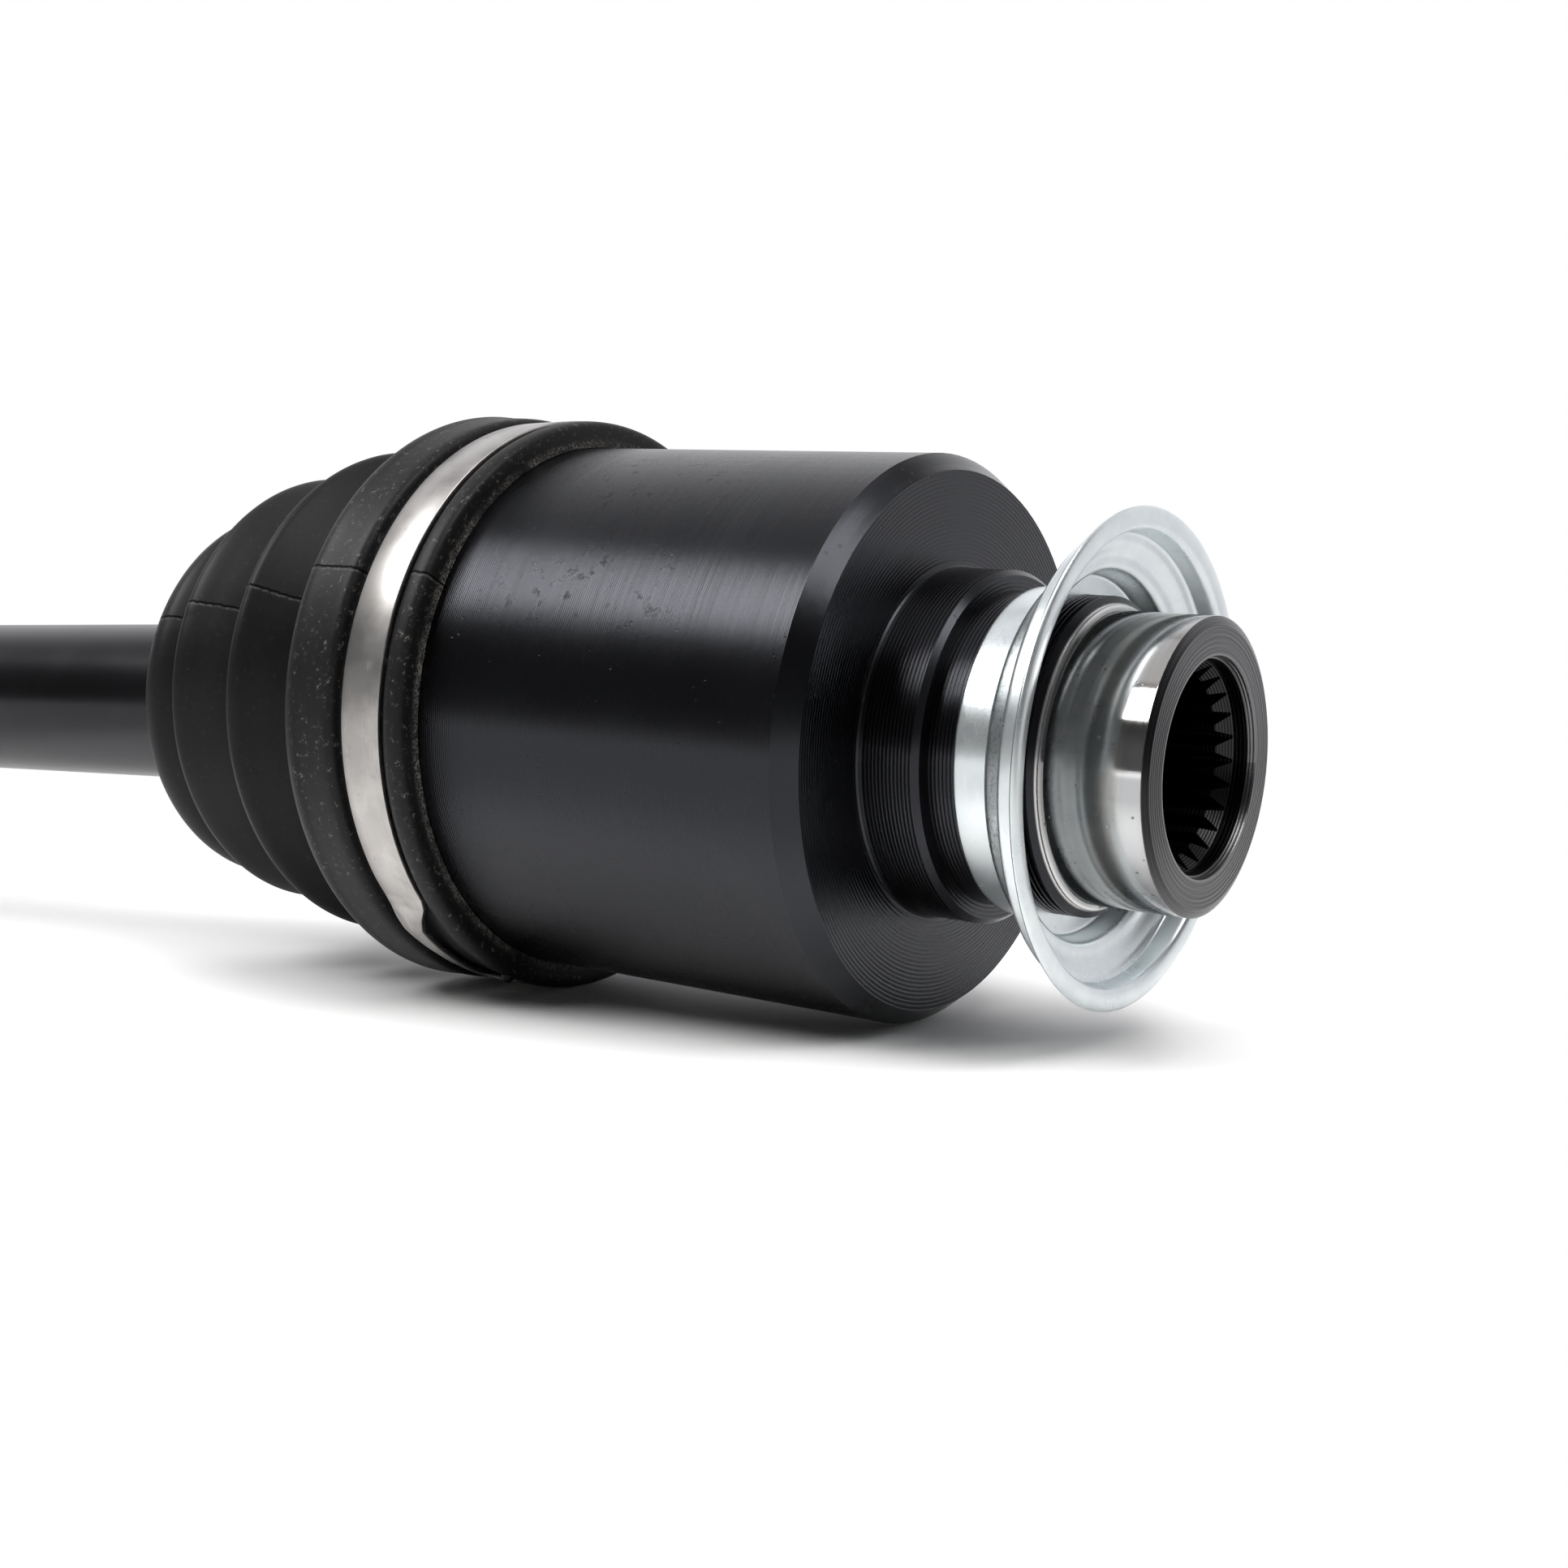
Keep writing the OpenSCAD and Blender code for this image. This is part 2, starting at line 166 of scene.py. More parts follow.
def around(g, centre=J, turn=BEND):
    """Position in millimetres along and about an axis: p, station, radius, angle."""
    p = g.vec("SUBTRACT", g.add("TexCoord", out=3), tuple(centre))
    if turn:
        p = g.add("VectorRotate", {"Vector": p, "Angle": -turn}, rotation_type="Y_AXIS")
    p = g.add("VectorMath", {0: p, "Scale": 1000.0}, operation="SCALE")
    s, y, z = g.split(p)
    return p, s, g.length(y, z), g.math("ARCTAN2", z, y)


def bump(g, height, strength, distance):
    return g.add("Bump", {"Strength": strength, "Distance": distance, "Height": height})


def tangent(g, centre=J, axis=HOUSING_AXIS):
    """Direction across the turning or grinding lines."""
    p = g.vec("SUBTRACT", g.add("TexCoord", out=3), tuple(centre))
    t = g.vec("CROSS_PRODUCT", g.add("TexCoord", out=1), g.vec("CROSS_PRODUCT", p, tuple(axis)))
    t = g.add("VectorTransform", {0: t}, vector_type="VECTOR", convert_from="OBJECT", convert_to="WORLD")
    return g.vec("NORMALIZE", t)


def dress(mat, *names):
    """Gives CAD pieces a material."""
    for name in names:
        materials = NODES[name].data.materials
        materials.clear()
        materials.append(mat)


def turned(g, s, r, ang, pitch):
    """Height of lathe lines: they follow the station on a side and the radius on a face."""
    q = g.sum(s, r)
    wave = g.math("SINE", g.times(q, FULL / pitch))
    fine = g.noise(g.join(g.times(q, 3.1), g.times(ang, 0.35), 0.0), 1.0, 4.0, 0.65)
    return g.sum(g.times(wave, 0.35), fine)


def housing_material():
    mat, g, bsdf = material("housing_black_and_ground_steel")
    p, s, r, ang = around(g)
    cloud = g.noise(p, 0.045, 4.0, 0.6)
    grain = g.noise(p, 2.2, 3.0, 0.6)
    streak = g.noise(g.join(g.times(s, 1.2), g.times(ang, 2.0), r), 1.0, 4.0, 0.6)
    lines = turned(g, s, r, ang, 0.42)
    coarse = turned(g, s, r, ang, 0.66)

    ground = g.times(g.band(s, 88.35, 104.0, 0.12), g.ramp(r, 21.9, 22.2))
    ring = g.times(g.band(s, 87.75, 88.4, 0.12), g.ramp(r, 22.4, 22.9))
    endface = g.times(g.ramp(s, 103.95, 104.1), g.ramp(r, 16.0, 16.3))
    bore = g.times(g.ramp(r, 16.95, 17.05, 1.0, 0.0), g.ramp(s, 60.5, 61.0))
    teeth_end = g.times(g.band(s, 98.5, 101.5, 0.15), g.ramp(r, 16.18, 16.26, 1.0, 0.0))
    mouth = g.times(g.ramp(s, 103.2, 103.5), g.ramp(r, 16.9, 17.1, 1.0, 0.0))
    inside = g.times(g.ramp(s, 60.0, 60.5, 1.0, 0.0), g.ramp(r, 43.0, 44.0, 1.0, 0.0),
                     g.ramp(s, 57.0, 58.0, 1.0, 0.0))

    # Oxide black: dark, a little blue, cloudy, with rubbed patches
    rubbed = g.times(g.ramp(cloud, 0.5, 0.72), 0.5)
    scuffs = g.noise(g.join(g.times(s, 0.32), g.times(ang, 16.0), 0.0), 1.0, 6.0, 0.72)
    smudge = g.times(g.band(s, 2.0, 34.0, 8.0), g.band(ang, 1.9, 2.9, 0.25), g.ramp(scuffs, 0.56, 0.66))
    oxide = g.mix(rubbed, (0.036, 0.037, 0.041), (0.043, 0.044, 0.048))
    oxide = g.mix(g.times(smudge, 0.75), oxide, (0.017, 0.017, 0.019))
    oxide = g.mix(g.times(g.ramp(grain, 0.62, 0.8), 0.3), oxide, (0.07, 0.07, 0.074))

    # Ground journal: bright, browned in bands, darker towards the shield in painted shade, with small pits
    tint = g.ramp(g.noise(g.join(g.times(s, 0.26), g.times(ang, 0.7), 3.0), 1.0, 3.0, 0.5), 0.4, 0.62)
    steel = g.mix(tint, (0.52, 0.525, 0.53), (0.46, 0.445, 0.425))
    steel = g.mix(g.times(g.ramp(streak, 0.5, 0.75), 0.3), steel, (0.56, 0.56, 0.56))
    # Painted shade: the journal's colour darkens towards the shield
    steel = g.mix(g.times(g.ramp(s, 97.0, 93.5), 0.6), steel, (0.26, 0.26, 0.262))
    pits = g.add("TexVoronoi", {"Vector": p, "Scale": 0.55}, feature="F1")
    pit = g.times(g.ramp(pits, 0.1, 0.16, 1.0, 0.0), g.ramp(g.noise(p, 0.2, 2.0), 0.5, 0.6))
    steel = g.mix(g.times(pit, 0.7), steel, (0.16, 0.12, 0.09))

    # Bright ring, end face with turned rings and painted shade on one half, bore and tooth ends darkened in painted
    # shade, and chamber
    colour = g.mix(ground, oxide, steel)
    colour = g.mix(ring, colour, (0.72, 0.71, 0.7))
    rings = g.noise(g.join(g.times(r, 2.4), 0.0, 0.0), 1.0, 5.0, 0.7)
    face = g.mix(g.ramp(rings, 0.4, 0.66), (0.055, 0.055, 0.058), (0.15, 0.148, 0.15))
    # Painted shade: the end face is darkened on its half towards -y, the left in the view
    face = g.mix(g.times(g.ramp(g.math("ABSOLUTE", ang), 2.0, 2.9), 0.75), face, (0.012, 0.012, 0.013))
    colour = g.mix(endface, colour, face)
    # Painted shade: the bore is near black inside
    colour = g.mix(bore, colour, (0.02, 0.02, 0.021))
    # Painted shade: the tooth ends deep in the mouth are darkened; lathe lines vary their tone
    teeth = g.mix(g.ramp(coarse, 0.2, 0.8), (0.016, 0.016, 0.017), (0.042, 0.042, 0.042))
    colour = g.mix(teeth_end, colour, teeth)
    colour = g.mix(mouth, colour, (0.2, 0.2, 0.2))
    colour = g.mix(inside, colour, (0.42, 0.42, 0.41))
    g.put(bsdf, "Base Color", colour)
    g.put(bsdf, "Metallic", 1.0)
    rough = g.sum(0.22, g.times(cloud, 0.1), g.times(smudge, 0.14))
    rough = g.blend(ground, rough, g.sum(0.05, g.times(streak, 0.05), g.times(tint, 0.03)))
    rough = g.blend(g.sum(endface, bore), rough, 0.3)
    g.put(bsdf, "Roughness", rough)
    g.put(bsdf, "Anisotropic", g.blend(ground, 0.45, 0.3))
    g.put(bsdf, "Tangent", tangent(g))

    # Lathe lines: fine on the side, coarse on the chamfer and boss, shallow on the front face
    front = g.times(coarse, g.ramp(s, 60.0, 60.3, 5.0, 1.3))
    depth = g.blend(g.ramp(s, 56.4, 57.0), g.times(lines, 3.0), front)
    depth = g.blend(g.ramp(s, 60.8, 61.4), depth, g.times(coarse, 5.0))
    depth = g.blend(ground, depth, g.times(streak, 0.12))
    g.put(bsdf, "Normal", bump(g, g.sum(depth, g.times(pit, -2.0), g.times(grain, 0.1)), 1.0, 0.00001))
    return mat


def plain_metal(name, light, dark, rough, scale=0.5, aniso=0.0, centre=J, lines=0.0):
    mat, g, bsdf = material(name)
    p, s, r, ang = around(g, centre, 0.0)
    cloud = g.noise(p, scale, 5.0, 0.6)
    grain = g.noise(p, 3.5, 3.0, 0.6)
    g.put(bsdf, "Base Color", g.mix(g.ramp(cloud, 0.32, 0.68), dark, light))
    g.put(bsdf, "Metallic", 1.0)
    g.put(bsdf, "Roughness", g.sum(rough, g.times(cloud, 0.1)))
    height = g.times(grain, 0.4)
    if lines:
        height = g.sum(height, g.times(turned(g, s, r, ang, 0.4), lines))
    if aniso:
        g.put(bsdf, "Anisotropic", aniso)
        g.put(bsdf, "Tangent", tangent(g, centre, BAR_AXIS))
    g.put(bsdf, "Normal", bump(g, height, 0.4, 0.00001))
    return mat


def zinc_material():
    mat, g, bsdf = material("zinc_plated_sheet")
    p, s, r, ang = around(g)
    cloud = g.noise(p, 0.16, 5.0, 0.6)
    drawn = g.noise(g.join(g.times(s, 1.3), g.times(ang, 7.0), g.times(r, 1.3)), 1.0, 5.0, 0.65)
    speck = g.noise(p, 1.9, 5.0, 0.75)
    colour = g.mix(g.ramp(cloud, 0.3, 0.7), (0.7, 0.75, 0.765), (0.8, 0.84, 0.845))
    grainy = g.times(g.band(s, 76.2, 81.6, 0.8), g.ramp(r, 26.2, 26.6, 1.0, 0.0), g.band(ang, 2.4, 2.85, 0.2))
    fold = g.times(g.band(s, 82.6, 86.4, 0.4), g.band(r, 28.4, 31.0, 0.15))
    # Painted shade: the outer fold's colour is darkened
    colour = g.mix(g.times(fold, 0.75), colour, (0.19, 0.21, 0.215))
    # Dark speckle: grain on the sleeve's grainy zone, painted shade on the fold
    dark = g.times(g.sum(g.times(grainy, 0.5), g.times(fold, 0.8)), g.ramp(speck, 0.5, 0.64))
    colour = g.mix(dark, colour, (0.16, 0.17, 0.18))
    colour = g.mix(g.times(g.ramp(drawn, 0.55, 0.75), 0.4), colour, (0.86, 0.89, 0.89))
    g.put(bsdf, "Base Color", colour)
    g.put(bsdf, "Metallic", 0.9)
    sleeve = g.times(g.ramp(s, 82.4, 81.6), g.ramp(r, 27.2, 26.6))
    g.put(bsdf, "Roughness", g.sum(g.blend(sleeve, 0.22, 0.18), g.times(cloud, 0.14), g.times(grainy, 0.08)))
    height = g.sum(g.times(drawn, 0.7), g.times(speck, g.blend(g.sum(g.times(grainy, 0.7), fold), 0.4, 2.2)))
    g.put(bsdf, "Normal", bump(g, height, 0.6, 0.00002))
    return mat


def rubber_material(name, centre=J, turn=BEND, dusty=True):
    mat, g, bsdf = material(name)
    p, s, r, ang = around(g, centre, turn)
    cloud = g.noise(p, 0.06, 4.0, 0.6)
    grain = g.noise(p, 2.6, 5.0, 0.7)
    dust = g.noise(p, 0.9, 7.0, 0.8)
    colour = g.mix(g.ramp(cloud, 0.35, 0.7), (0.0035, 0.0035, 0.0038), (0.006, 0.006, 0.0063))
    amount = g.times(g.ramp(dust, 0.6, 0.76), 0.12)
    if dusty:
        near = g.sum(g.band(s, -41.0, -26.0, 3.0), g.band(s, -17.5, -11.5, 0.8), 0.15)
        amount = g.times(g.ramp(dust, 0.56, 0.7), near, 0.55)
        line = g.times(g.ramp(s, -12.9, -12.4), g.ramp(r, 47.5, 46.4),
                       g.ramp(g.noise(p, 2.8, 6.0, 0.8), 0.46, 0.6), g.ramp(g.noise(p, 0.12, 3.0), 0.25, 0.6), 0.65)
        amount = g.math("MINIMUM", g.sum(amount, line), 1.0)
    colour = g.mix(amount, colour, (0.24, 0.225, 0.205))
    # Moulding line: a dark parting crack whose near-black colour is painted shade in the groove, with a thin light
    # line beside it, partly dust and partly a painted highlight on the ridge
    wander = g.times(g.math("SUBTRACT", g.noise(g.join(s, 0.0, 0.0), 0.9, 3.0), 0.5), 0.8)
    back = g.sum(s, DRIFT_FROM)
    drift = g.times(back, back, DRIFT)
    angle_off = g.math("SUBTRACT", g.math("SUBTRACT", ang, MOULD_LINE), drift)
    across = g.sum(g.times(angle_off, r), wander)
    # Painted shade in the crack's groove
    crack = g.times(g.ramp(g.math("ABSOLUTE", across), 0.1, 0.26, 1.0, 0.0), g.ramp(r, 30.0, 32.0))
    # Light line beside the crack: partly dust, partly a painted highlight on the ridge
    edge = g.times(g.band(across, 0.3, 0.6, 0.12), g.ramp(dust, 0.4, 0.6), g.ramp(r, 30.0, 32.0))
    colour = g.mix(g.times(edge, 0.45), colour, (0.13, 0.125, 0.12))
    colour = g.mix(crack, colour, (0.001, 0.001, 0.001))
    g.put(bsdf, "Base Color", colour)
    g.put(bsdf, "Roughness", g.sum(0.4, g.times(cloud, 0.14), g.times(amount, 0.4)))
    g.put(bsdf, "Specular IOR Level", g.blend(crack, 0.24, 0.05))
    fine = g.sum(g.times(grain, 0.6), g.times(dust, 0.3), g.times(crack, -6.0))
    g.put(bsdf, "Normal", bump(g, fine, 0.35, 0.00004))
    return mat


def band_material(name, centre=J, turn=BEND):
    mat, g, bsdf = material(name)
    p, s, r, ang = around(g, centre, turn)
    cloud = g.noise(p, 0.12, 5.0, 0.6)
    brush = g.noise(g.join(g.times(s, 5.0), g.times(ang, 1.4), r), 1.0, 5.0, 0.65)
    colour = g.mix(g.ramp(cloud, 0.35, 0.65), (0.42, 0.4, 0.385), (0.55, 0.53, 0.51))
    colour = g.mix(g.times(g.ramp(brush, 0.5, 0.7), 0.35), colour, (0.62, 0.6, 0.58))
    stain = g.ramp(g.noise(p, 0.28, 5.0, 0.75), 0.6, 0.68)
    colour = g.mix(g.times(stain, 0.35), colour, (0.24, 0.21, 0.19))
    g.put(bsdf, "Base Color", colour)
    g.put(bsdf, "Metallic", 1.0)
    g.put(bsdf, "Roughness", g.sum(0.28, g.times(cloud, 0.12), g.times(stain, 0.1)))
    g.put(bsdf, "Anisotropic", 0.2)
    g.put(bsdf, "Tangent", tangent(g, centre, HOUSING_AXIS if turn else BAR_AXIS))
    g.put(bsdf, "Normal", bump(g, g.sum(g.times(brush, 0.8), g.times(stain, 0.3)), 0.4, 0.00001))
    return mat


# Meshes
def build(name, verts, faces, mat, merge=True):
    """A smooth-shaded object with its normals outward."""
    mesh = bpy.data.meshes.new(name)
    mesh.from_pydata([tuple(v) for v in verts], [], faces)
    mesh.update()
    obj = bpy.data.objects.new(name, mesh)
    bpy.context.scene.collection.objects.link(obj)
    bm = bmesh.new()
    bm.from_mesh(mesh)
    if merge:
        bmesh.ops.remove_doubles(bm, verts=bm.verts, dist=1e-7)
    bmesh.ops.recalc_face_normals(bm, faces=bm.faces)
    bm.to_mesh(mesh)
    bm.free()
    mesh.shade_smooth()
    mesh.materials.append(mat)
    return obj


def quads(rows, columns, closed_rows=False):
    """Faces between rows of vertices, each row a closed loop of columns."""
    faces = []
    for i in range(rows if closed_rows else rows - 1):
        j = (i + 1) % rows
        for k in range(columns):
            m = (k + 1) % columns
            faces.append((i * columns + k, j * columns + k, j * columns + m, i * columns + m))
    return faces


def smooth_path(points, step):
    """Catmull-Rom through the points, resampled at an even step."""
    p = np.array(points, float)
    p = np.vstack([2 * p[0] - p[1], p, 2 * p[-1] - p[-2]])
    fine = []
    for i in range(1, len(p) - 2):
        a, b, c, d = p[i - 1], p[i], p[i + 1], p[i + 2]
        for t in np.linspace(0, 1, 24, endpoint=False):
            square, cube = 2 * a - 5 * b + 4 * c - d, 3 * b - a - 3 * c + d
            fine.append(0.5 * (2 * b + (c - a) * t + square * t * t + cube * t ** 3))
    fine.append(p[-2])
    fine = np.array(fine)
    along = np.concatenate([[0], np.cumsum(np.linalg.norm(np.diff(fine, axis=0), axis=1))])
    n = max(2, int(along[-1] / step))
    at = np.linspace(0, along[-1], n + 1)
    return np.stack([np.interp(at, along, fine[:, k]) for k in (0, 1)], 1)


def skin(name, outer, inner, place, mat, segments=192, extra=None):
    """A closed tube between two open paths of (station, radius) in millimetres."""
    loop = np.vstack([outer, inner[::-1]])
    n = len(loop)
    verts = []
    for s, r in loop:
        for k in range(segments):
            a = FULL * k / segments
            verts.append(place(s, r + (extra(s, a, r) if extra else 0.0), a))
    obj = build(name, verts, quads(n, segments, True), mat, merge=False)
    mesh = obj.data
    ends = {len(outer) - 1, n - 1, 0, len(outer)}
    sharp = {(i * segments + k) for i in ends for k in range(segments)}
    layer = mesh.attributes.get("sharp_edge") or mesh.attributes.new("sharp_edge", "BOOLEAN", "EDGE")
    flags = np.zeros(len(mesh.edges), bool)
    for e in mesh.edges:
        a, b = e.vertices
        flags[e.index] = a in sharp and b in sharp and (a // segments == b // segments)
    layer.data.foreach_set("value", flags)
    return obj


# How far the inboard boot turns from the housing's axis to the bar's: stations, then degrees
TURNS = ([-106.5, -98, -96.5, -89, -84, -76.5, -71, -59, -48, -38, -36, 0],
         [3.3, 3.3, 3.1, 1.9, 1.55, 0.95, 0.8, 0.55, 0.3, 0.02, 0, 0])


def inner_place(s, r, a):
    turn = BEND - math.radians(float(np.interp(s, *TURNS)))
    v = Vector((s, r * math.cos(a), r * math.sin(a))) * MM
    return J + Matrix.Rotation(turn, 3, "Y") @ v


def outer_place(s, r, a):
    return Vector((s, r * math.cos(a), r * math.sin(a))) * MM


# Boots: revolved skins with a wall, each split into pieces along its length
INNER_SKIN = [(-12.3, 46.2), (-12.3, 47.5), (-12.35, 48.8), (-12.6, 49.6), (-13.2, 50.05), (-14.2, 50.22),
              (-15.2, 50.2), (-15.9, 49.9), (-16.4, 49.5), (-17.0, 49.3), (-20, 49.28), (-25.6, 49.28),
              (-26.2, 49.1), (-26.5, 48.4), (-26.9, 48.2), (-27.3, 48.7), (-27.7, 49.9), (-28.3, 50.45),
              (-29.4, 50.65), (-32, 50.7), (-34.6, 50.78), (-36, 50.95), (-37.2, 50.75), (-38.4, 50.0),
              (-39.8, 48.3), (-41.6, 45.6), (-44, 41.8), (-46, 39.0), (-47.4, 37.5), (-48.6, 37.05)]
INNER_SKIN_2 = [(-48.6, 37.05), (-49.6, 37.35), (-50.6, 38.2), (-51.9, 39.3), (-53.3, 40.6), (-54.8, 42.0),
                (-56.0, 43.3), (-57.0, 44.4), (-57.9, 44.85), (-58.8, 44.7), (-59.6, 43.9), (-60.4, 41.8),
                (-61.4, 38.8)]
INNER_SKIN_3 = [(-61.4, 38.8), (-62.6, 35.6), (-63.9, 33.3), (-65.4, 32.6), (-66.1, 33.1), (-67.0, 34.2),
                (-68.4, 35.5), (-70.0, 36.6), (-71.8, 37.7), (-73.6, 38.7), (-75.2, 39.6), (-76.5, 40.2),
                (-77.6, 40.4), (-78.5, 40.0), (-79.2, 38.8), (-79.8, 36.6), (-80.4, 33.6), (-81.0, 31.0),
                (-81.8, 30.0), (-82.8, 30.8), (-83.8, 32.2), (-85.2, 33.6), (-86.8, 34.7), (-88.2, 35.4),
                (-89.6, 35.6), (-91.3, 35.2), (-93.1, 33.9), (-94.6, 31.7), (-95.7, 28.7), (-96.5, 25.2),
                (-97.2, 22.0), (-98.0, 20.2), (-99.2, 19.55), (-101, 19.5), (-104.6, 19.5), (-105.4, 20.0),
                (-106.0, 19.9), (-106.4, 19.0), (-106.5, 17.5), (-106.5, 15.9)]
INNER_WALL = [(-12.3, 45.7), (-20, 45.7), (-27.4, 45.75), (-28.4, 46.9), (-30, 48.2), (-35.4, 48.4),
              (-37, 47.6), (-39.4, 44.8), (-42.4, 40.3), (-44.6, 37.2), (-46.4, 35.4), (-48.6, 34.85)]
INNER_WALL_2 = [(-48.6, 34.85), (-50.8, 35.6), (-53.4, 38.1), (-55.6, 40.3), (-56.9, 41.8), (-57.8, 42.4),
                (-58.5, 41.6), (-59.5, 37.8), (-60.6, 34.8)]
INNER_WALL_3 = [(-60.6, 34.8), (-61.8, 32.4), (-63.4, 30.9), (-65.4, 30.35), (-67.1, 31.2), (-69.3, 33.2),
                (-72.0, 35.2), (-74.9, 37.0), (-76.8, 37.9), (-77.8, 37.4), (-78.4, 34.2), (-79.3, 29.8),
                (-80.7, 28.1), (-82.4, 28.0), (-84.0, 29.4), (-86.0, 31.5), (-87.8, 32.8), (-89.2, 33.2),
                (-90.6, 32.5), (-92.2, 30.5), (-93.8, 26.8), (-94.9, 21.5), (-96.4, 17.4), (-98.2, 15.9),
                (-106.4, 15.9)]


def seam(at, width, height):
    """A moulding line: a low rounded ridge that runs along the boot and drifts a little."""
    def lift(s, a, r):
        d = (a - at - DRIFT * (s + DRIFT_FROM) ** 2 + math.pi) % FULL - math.pi
        d *= r
        return height * math.exp(-(d / width) ** 2) if abs(d) < 4 * width and r > 30 else 0.0
    return lift


rubber = rubber_material("rubber_inboard")
mould = seam(math.radians(152.7), 0.22, 0.14)
SKIN_STEP, OUTER_STEP, WALL_STEP = 0.42, 0.6, 1.5  # millimetres along each path
boot_1 = skin("inner_boot_lip_and_first_rib", smooth_path(INNER_SKIN, SKIN_STEP),
              smooth_path(INNER_WALL, WALL_STEP), inner_place, rubber, 256, mould)
boot_2 = skin("inner_boot_second_rib", smooth_path(INNER_SKIN_2, SKIN_STEP),
              smooth_path(INNER_WALL_2, WALL_STEP), inner_place, rubber, 256, mould)
boot_3 = skin("inner_boot_last_ribs_and_collar", smooth_path(INNER_SKIN_3, SKIN_STEP),
              smooth_path(INNER_WALL_3, WALL_STEP), inner_place, rubber, 256, mould)
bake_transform(boot_1)
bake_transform(boot_2)
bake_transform(boot_3)
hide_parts("inner_boot")

# Big clamp: a crimped band, pinched to a raised tongue low on the side
TONGUE = [0, 214, 219, 221.5, 224, 227, 232, 238, 244, 249, 253, 257, 262, 360]
LEFT = [-25.5, -25.5, -25.5, -25.35, -24.9, -24.55, -24.45, -24.5, -24.6, -24.8, -25.2, -25.5, -25.5, -25.5]
RIGHT = [-16.8, -16.8, -16.85, -17.4, -18.7, -19.9, -20.4, -20.9, -21.4, -21.3, -19.5, -17.2, -16.8, -16.8]
RISE = [0, 0, -0.12, 0.1, 0.75, 1.15, 0.85, 0.5, 0.35, 0.35, 0.2, 0.05, 0, 0]


def clamp_ring(name, r0, r1, mat, segments=720):
    """The band as a ring of cross sections: rolled edges, a crown between them and the tongue's rise."""
    section = [(0.0, r0), (0.0, r1 - 0.16), (0.06, r1 - 0.05), (0.16, r1), (0.5, r1 + 0.02), (-0.16, r1),
               (-0.06, r1 - 0.05), (0.0, r1 - 0.16), (0.0, r0)]
    n, crown = len(section), 4
    verts = []
    for k in range(segments):
        degrees = 360.0 * k / segments
        left, right_edge, rise = (float(np.interp(degrees, TONGUE, v)) for v in (LEFT, RIGHT, RISE))
        for i, (shift, radius) in enumerate(section):
            if i < crown:
                s, lean = left + shift, -0.25
            elif i == crown:
                s, lean = 0.5 * (left + right_edge), -0.05
            else:
                s, lean = right_edge + shift, 0.15
            if i in (0, n - 1):
                lean = 0.0
            bow = 0.12 * min(rise, 1.0) if abs(i - crown) < 2 else 0.0
            verts.append(inner_place(s, radius + rise + bow + lean, math.radians(degrees)))
    faces = []
    for k in range(segments):
        m = (k + 1) % segments
        for i in range(n):
            j = (i + 1) % n
            faces.append((k * n + i, k * n + j, m * n + j, m * n + i))
    return build(name, verts, faces, mat)


clamp = clamp_ring("inner_big_clamp_band", 49.35, 50.1, band_material("band_inboard"))
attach(clamp, "inner_housing")
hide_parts("inner_big_clamp")


def nub(name, s, r, angle, mat):
    """A small moulding nub with a dimple, standing on the lip."""
    profile = [(0.0, 0.55), (0.28, 0.6), (0.46, 0.85), (0.62, 1.05), (0.86, 1.0), (1.0, 0.7), (1.12, 0.2),
               (1.3, -0.3)]
    turns, verts = 24, []
    for rho, h in profile:
        for k in range(turns):
            t = FULL * k / turns
            verts.append(inner_place(s + rho * math.cos(t), r + h, angle + rho * math.sin(t) / r))
    faces = quads(len(profile), turns)
    last = (len(profile) - 1) * turns
    faces.append(tuple(range(last, last + turns)))
    return build(name, verts, faces, mat)


pip = nub("inner_boot_nub", -14.3, 50.1, math.radians(247), rubber)
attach(pip, "inner_housing")

# Outboard boot
OUTER_SKIN = [(46.6, 45.6), (46.6, 47.6), (46.8, 48.5), (47.4, 48.9), (48.2, 48.85), (49, 48.05), (50, 48),
              (56.2, 48), (56.9, 47.3), (57.4, 47.3), (58, 48.1), (59, 48.55), (61, 48.65), (64, 48.6),
              (65.6, 48), (67.4, 46), (69.4, 42.2), (71.4, 38.8), (73, 37.2), (74, 37), (75.2, 37.7),
              (77, 40.3), (77.8, 41.4)]
OUTER_SKIN_2 = [(77.8, 41.4), (78.8, 42.6), (80.6, 43.2), (82.2, 42.4), (84, 39), (85.6, 34.4), (86.8, 31),
                (87.9, 30.1), (89, 30.8), (90.6, 34), (92.2, 37.2), (93.8, 38.2), (95.4, 37.2), (97, 33.4),
                (98.8, 28), (100.2, 26), (101.6, 26.6), (103.2, 30), (104.6, 32.6), (106.2, 33.4),
                (107.6, 32.5), (109.2, 28.8), (111, 24), (112.4, 22.6), (113.6, 23), (115, 26),
                (116.4, 27.9), (118, 28.5), (119.4, 27.7), (121, 24), (122.4, 20.8), (123.4, 19.5),
                (124.4, 19), (131.4, 19), (132, 19.5), (132.6, 19.3), (132.8, 18), (132.8, 15.9)]
OUTER_WALL = [(46.6, 45.58), (58, 45.58), (59.4, 46), (64, 46.1), (66.4, 44), (69, 38.4), (71.4, 35.4),
              (73.6, 34.7), (76, 36.4), (78.4, 38.4)]
